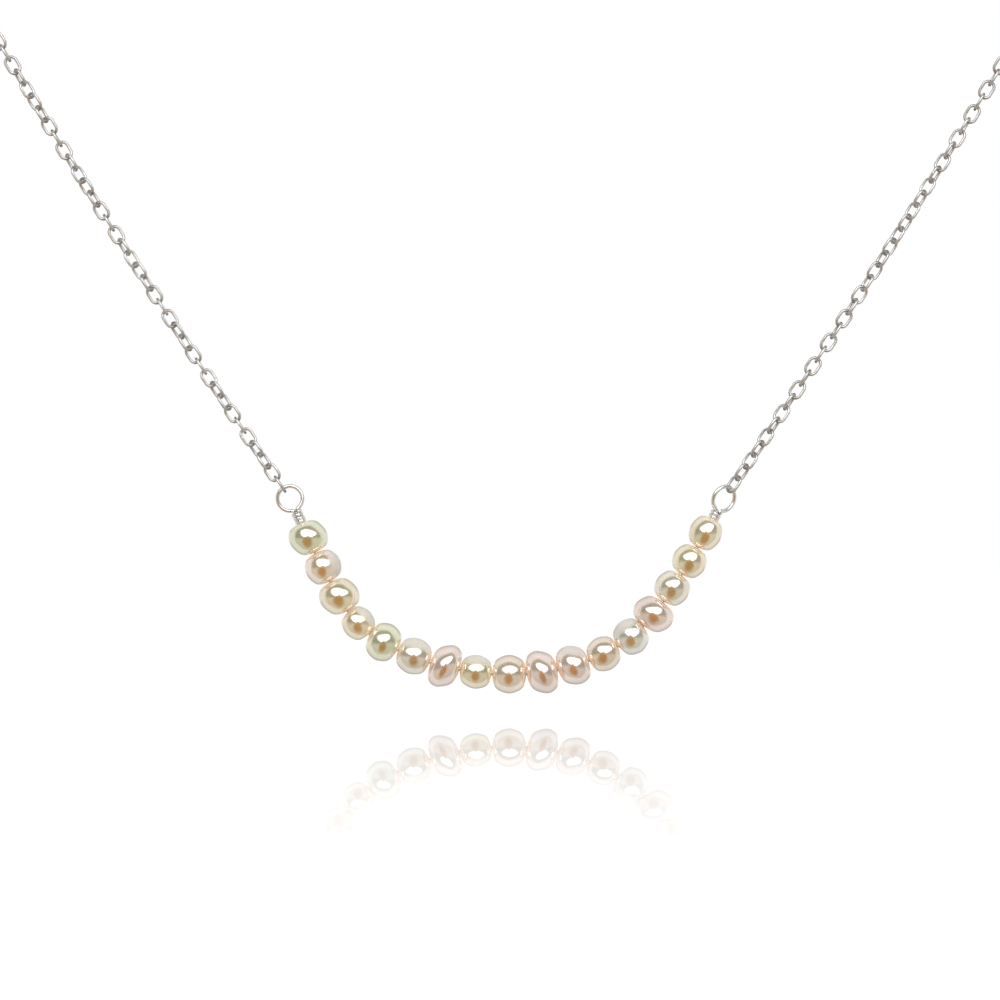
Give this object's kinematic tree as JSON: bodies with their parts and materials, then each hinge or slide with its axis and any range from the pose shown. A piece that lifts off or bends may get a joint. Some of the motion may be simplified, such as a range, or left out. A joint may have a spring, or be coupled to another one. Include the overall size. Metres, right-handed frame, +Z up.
{
  "type": "pearl necklace",
  "caption": "Fine cable chain necklace with a curved wire strand of small button pearls hung between two wrapped eyes, closed at the nape by a spring ring clasp.",
  "frame": {"origin": "middle of the neck opening, at the height where the chain rests on the sides of the neck", "axes": "+Z up, the pearl strand hangs at the front on -Y, +X to the right of someone facing it"},
  "size_m": [0.1242, 0.0883, 0.1174],
  "materials": {
    "chain_silver": "polished",
    "silver_wire": "polished",
    "clasp_silver": "polished",
    "nacre": "lustrous nacre"
  },
  "bodies": {
    "root": {"left_rest_1": "chain_silver", "left_rest_2": "chain_silver", "left_rest_3": "chain_silver", "right_rest_1": "chain_silver", "right_rest_2": "chain_silver", "right_rest_3": "chain_silver"},
    "left_drop_1": {"left_drop_1": "chain_silver"},
    "left_drop_2": {"left_drop_2": "chain_silver"},
    "left_drop_3": {"left_drop_3": "chain_silver"},
    "left_drop_4": {"left_drop_4": "chain_silver"},
    "left_drop_5": {"left_drop_5": "chain_silver"},
    "left_drop_6": {"left_drop_6": "chain_silver"},
    "left_drop_7": {"left_drop_7": "chain_silver"},
    "left_drop_8": {"left_drop_8": "chain_silver"},
    "left_lift_1": {"left_lift_1": "chain_silver"},
    "left_lift_2": {"left_lift_2": "chain_silver"},
    "left_lift_3": {"left_lift_3": "chain_silver"},
    "right_drop_1": {"right_drop_1": "chain_silver"},
    "right_drop_2": {"right_drop_2": "chain_silver"},
    "right_drop_3": {"right_drop_3": "chain_silver"},
    "right_drop_4": {"right_drop_4": "chain_silver"},
    "right_drop_5": {"right_drop_5": "chain_silver"},
    "right_drop_6": {"right_drop_6": "chain_silver"},
    "right_drop_7": {"right_drop_7": "chain_silver"},
    "right_drop_8": {"right_drop_8": "chain_silver"},
    "right_lift_1": {"right_lift_1": "chain_silver"},
    "right_lift_2": {"right_lift_2": "chain_silver"},
    "right_lift_3": {"right_lift_3": "chain_silver"},
    "strand_wire": {"strand_wire": "silver_wire"},
    "pearl_01": {"pearl_01": "nacre"},
    "pearl_02": {"pearl_02": "nacre"},
    "pearl_03": {"pearl_03": "nacre"},
    "pearl_04": {"pearl_04": "nacre"},
    "pearl_05": {"pearl_05": "nacre"},
    "pearl_06": {"pearl_06": "nacre"},
    "pearl_07": {"pearl_07": "nacre"},
    "pearl_08": {"pearl_08": "nacre"},
    "pearl_09": {"pearl_09": "nacre"},
    "pearl_10": {"pearl_10": "nacre"},
    "pearl_11": {"pearl_11": "nacre"},
    "pearl_12": {"pearl_12": "nacre"},
    "pearl_13": {"pearl_13": "nacre"},
    "pearl_14": {"pearl_14": "nacre"},
    "pearl_15": {"pearl_15": "nacre"},
    "pearl_16": {"pearl_16": "nacre"},
    "pearl_17": {"pearl_17": "nacre"},
    "clasp": {"jump_ring": "clasp_silver", "spring_ring": "clasp_silver", "end_ring": "clasp_silver"},
    "tongue": {"tongue": "clasp_silver"}
  },
  "joints": [
    {"name": "left_swing_8", "type": "hinge", "parent": "root", "child": "left_drop_8", "pos_m": [-0.05267, -0.04214, -0.02058], "axis": [1, 0, 0], "range_deg": [-12, 12]},
    {"name": "right_swing_8", "type": "hinge", "parent": "root", "child": "right_drop_8", "pos_m": [0.05267, -0.04214, -0.02058], "axis": [1, 0, 0], "range_deg": [-12, 12]},
    {"name": "left_swing_7", "type": "hinge", "parent": "left_drop_8", "child": "left_drop_7", "pos_m": [-0.04907, -0.04214, -0.02669], "axis": [1, 0, 0], "range_deg": [-12, 12]},
    {"name": "right_swing_7", "type": "hinge", "parent": "right_drop_8", "child": "right_drop_7", "pos_m": [0.04907, -0.04214, -0.02669], "axis": [1, 0, 0], "range_deg": [-12, 12]},
    {"name": "left_swing_6", "type": "hinge", "parent": "left_drop_7", "child": "left_drop_6", "pos_m": [-0.0454, -0.04214, -0.03278], "axis": [1, 0, 0], "range_deg": [-12, 12]},
    {"name": "right_swing_6", "type": "hinge", "parent": "right_drop_7", "child": "right_drop_6", "pos_m": [0.0454, -0.04214, -0.03278], "axis": [1, 0, 0], "range_deg": [-12, 12]},
    {"name": "left_swing_5", "type": "hinge", "parent": "left_drop_6", "child": "left_drop_5", "pos_m": [-0.04168, -0.04214, -0.03882], "axis": [1, 0, 0], "range_deg": [-12, 12]},
    {"name": "right_swing_5", "type": "hinge", "parent": "right_drop_6", "child": "right_drop_5", "pos_m": [0.04168, -0.04214, -0.03882], "axis": [1, 0, 0], "range_deg": [-12, 12]},
    {"name": "left_swing_4", "type": "hinge", "parent": "left_drop_5", "child": "left_drop_4", "pos_m": [-0.03791, -0.04214, -0.04484], "axis": [1, 0, 0], "range_deg": [-12, 12]},
    {"name": "right_swing_4", "type": "hinge", "parent": "right_drop_5", "child": "right_drop_4", "pos_m": [0.03791, -0.04214, -0.04484], "axis": [1, 0, 0], "range_deg": [-12, 12]},
    {"name": "left_swing_3", "type": "hinge", "parent": "left_drop_4", "child": "left_drop_3", "pos_m": [-0.03408, -0.04214, -0.05082], "axis": [1, 0, 0], "range_deg": [-12, 12]},
    {"name": "right_swing_3", "type": "hinge", "parent": "right_drop_4", "child": "right_drop_3", "pos_m": [0.03408, -0.04214, -0.05082], "axis": [1, 0, 0], "range_deg": [-12, 12]},
    {"name": "left_swing_2", "type": "hinge", "parent": "left_drop_3", "child": "left_drop_2", "pos_m": [-0.0302, -0.04214, -0.05677], "axis": [1, 0, 0], "range_deg": [-12, 12]},
    {"name": "right_swing_2", "type": "hinge", "parent": "right_drop_3", "child": "right_drop_2", "pos_m": [0.0302, -0.04214, -0.05677], "axis": [1, 0, 0], "range_deg": [-12, 12]},
    {"name": "left_swing_1", "type": "hinge", "parent": "left_drop_2", "child": "left_drop_1", "pos_m": [-0.02627, -0.04214, -0.06268], "axis": [1, 0, 0], "range_deg": [-12, 12]},
    {"name": "right_swing_1", "type": "hinge", "parent": "right_drop_2", "child": "right_drop_1", "pos_m": [0.02627, -0.04214, -0.06268], "axis": [1, 0, 0], "range_deg": [-12, 12]},
    {"name": "strand_swing", "type": "hinge", "parent": "left_drop_1", "child": "strand_wire", "pos_m": [-0.02228, -0.04214, -0.06855], "axis": [1, 0, 0], "range_deg": [-25, 25]},
    {"name": "pearl_01_spin", "type": "hinge", "parent": "strand_wire", "child": "pearl_01", "pos_m": [-0.01987, -0.04214, -0.07331], "axis": [0.4289, 0, -0.9034], "continuous": true},
    {"name": "pearl_02_spin", "type": "hinge", "parent": "strand_wire", "child": "pearl_02", "pos_m": [-0.0184, -0.04214, -0.07626], "axis": [0.4666, 0, -0.8845], "continuous": true},
    {"name": "pearl_03_spin", "type": "hinge", "parent": "strand_wire", "child": "pearl_03", "pos_m": [-0.01676, -0.04214, -0.07918], "axis": [0.5084, 0, -0.8611], "continuous": true},
    {"name": "pearl_04_spin", "type": "hinge", "parent": "strand_wire", "child": "pearl_04", "pos_m": [-0.01487, -0.04214, -0.08186], "axis": [0.6821, 0, -0.7312], "continuous": true},
    {"name": "pearl_05_spin", "type": "hinge", "parent": "strand_wire", "child": "pearl_05", "pos_m": [-0.01234, -0.04214, -0.08376], "axis": [0.877, 0, -0.4804], "continuous": true},
    {"name": "pearl_06_spin", "type": "hinge", "parent": "strand_wire", "child": "pearl_06", "pos_m": [-0.0093, -0.04214, -0.08516], "axis": [0.9327, 0, -0.3606], "continuous": true},
    {"name": "pearl_07_spin", "type": "hinge", "parent": "strand_wire", "child": "pearl_07", "pos_m": [-0.00621, -0.04214, -0.08615], "axis": [0.9693, 0, -0.246], "continuous": true},
    {"name": "pearl_08_spin", "type": "hinge", "parent": "strand_wire", "child": "pearl_08", "pos_m": [-0.00312, -0.04214, -0.08674], "axis": [0.9913, 0, -0.1315], "continuous": true},
    {"name": "pearl_09_spin", "type": "hinge", "parent": "strand_wire", "child": "pearl_09", "pos_m": [0.00022, -0.04214, -0.08697], "axis": [1, 0, -0.005], "continuous": true},
    {"name": "pearl_10_spin", "type": "hinge", "parent": "strand_wire", "child": "pearl_10", "pos_m": [0.0035, -0.04214, -0.08676], "axis": [0.9901, 0, 0.14], "continuous": true},
    {"name": "pearl_11_spin", "type": "hinge", "parent": "strand_wire", "child": "pearl_11", "pos_m": [0.00662, -0.04214, -0.08608], "axis": [0.9594, 0, 0.282], "continuous": true},
    {"name": "pearl_12_spin", "type": "hinge", "parent": "strand_wire", "child": "pearl_12", "pos_m": [0.00965, -0.04214, -0.08493], "axis": [0.901, 0, 0.4338], "continuous": true},
    {"name": "pearl_13_spin", "type": "hinge", "parent": "strand_wire", "child": "pearl_13", "pos_m": [0.01239, -0.04214, -0.08321], "axis": [0.7812, 0, 0.6243], "continuous": true},
    {"name": "pearl_14_spin", "type": "hinge", "parent": "strand_wire", "child": "pearl_14", "pos_m": [0.01464, -0.04214, -0.08096], "axis": [0.6265, 0, 0.7794], "continuous": true},
    {"name": "pearl_15_spin", "type": "hinge", "parent": "strand_wire", "child": "pearl_15", "pos_m": [0.01651, -0.04214, -0.07836], "axis": [0.5568, 0, 0.8306], "continuous": true},
    {"name": "pearl_16_spin", "type": "hinge", "parent": "strand_wire", "child": "pearl_16", "pos_m": [0.01823, -0.04214, -0.07567], "axis": [0.5183, 0, 0.8552], "continuous": true},
    {"name": "pearl_17_spin", "type": "hinge", "parent": "strand_wire", "child": "pearl_17", "pos_m": [0.01985, -0.04214, -0.07285], "axis": [0.4798, 0, 0.8774], "continuous": true},
    {"name": "left_raise_1", "type": "hinge", "parent": "root", "child": "left_lift_1", "pos_m": [-0.04978, 0.02202, 0.0178], "axis": [1, 0, 0], "range_deg": [0, 10]},
    {"name": "right_raise_1", "type": "hinge", "parent": "root", "child": "right_lift_1", "pos_m": [0.04978, 0.02202, 0.0178], "axis": [1, 0, 0], "range_deg": [0, 10]},
    {"name": "left_raise_2", "type": "hinge", "parent": "left_lift_1", "child": "left_lift_2", "pos_m": [-0.03744, 0.03297, 0.02179], "axis": [1, 0, 0], "range_deg": [0, 10]},
    {"name": "right_raise_2", "type": "hinge", "parent": "right_lift_1", "child": "right_lift_2", "pos_m": [0.03744, 0.03297, 0.02179], "axis": [1, 0, 0], "range_deg": [0, 10]},
    {"name": "left_raise_3", "type": "hinge", "parent": "left_lift_2", "child": "left_lift_3", "pos_m": [-0.02215, 0.03989, 0.02431], "axis": [1, 0, 0], "range_deg": [0, 10]},
    {"name": "right_raise_3", "type": "hinge", "parent": "right_lift_2", "child": "right_lift_3", "pos_m": [0.02215, 0.03989, 0.02431], "axis": [1, 0, 0], "range_deg": [0, 10]},
    {"name": "clasp_turn", "type": "hinge", "parent": "left_lift_3", "child": "clasp", "pos_m": [-0.00534, 0.04214, 0.02513], "axis": [1, 0, 0], "range_deg": [-17, 17]},
    {"name": "tongue_slide", "type": "hinge", "parent": "clasp", "child": "tongue", "pos_m": [0.00082, 0.04214, 0.02513], "axis": [0, -0.9397, -0.342], "range_deg": [0, 62], "stiffness_Nm_per_rad": 0.0001, "springref_deg": -11.46}
  ],
  "couplings": [
    {"joint": "right_swing_8", "follows": "left_swing_8", "ratio": 1},
    {"joint": "right_swing_7", "follows": "left_swing_7", "ratio": 1},
    {"joint": "right_swing_6", "follows": "left_swing_6", "ratio": 1},
    {"joint": "right_swing_5", "follows": "left_swing_5", "ratio": 1},
    {"joint": "right_swing_4", "follows": "left_swing_4", "ratio": 1},
    {"joint": "right_swing_3", "follows": "left_swing_3", "ratio": 1},
    {"joint": "right_swing_2", "follows": "left_swing_2", "ratio": 1},
    {"joint": "right_swing_1", "follows": "left_swing_1", "ratio": 1},
    {"joint": "right_raise_1", "follows": "left_raise_1", "ratio": 1},
    {"joint": "right_raise_2", "follows": "left_raise_2", "ratio": 1},
    {"joint": "right_raise_3", "follows": "left_raise_3", "ratio": 1}
  ]
}
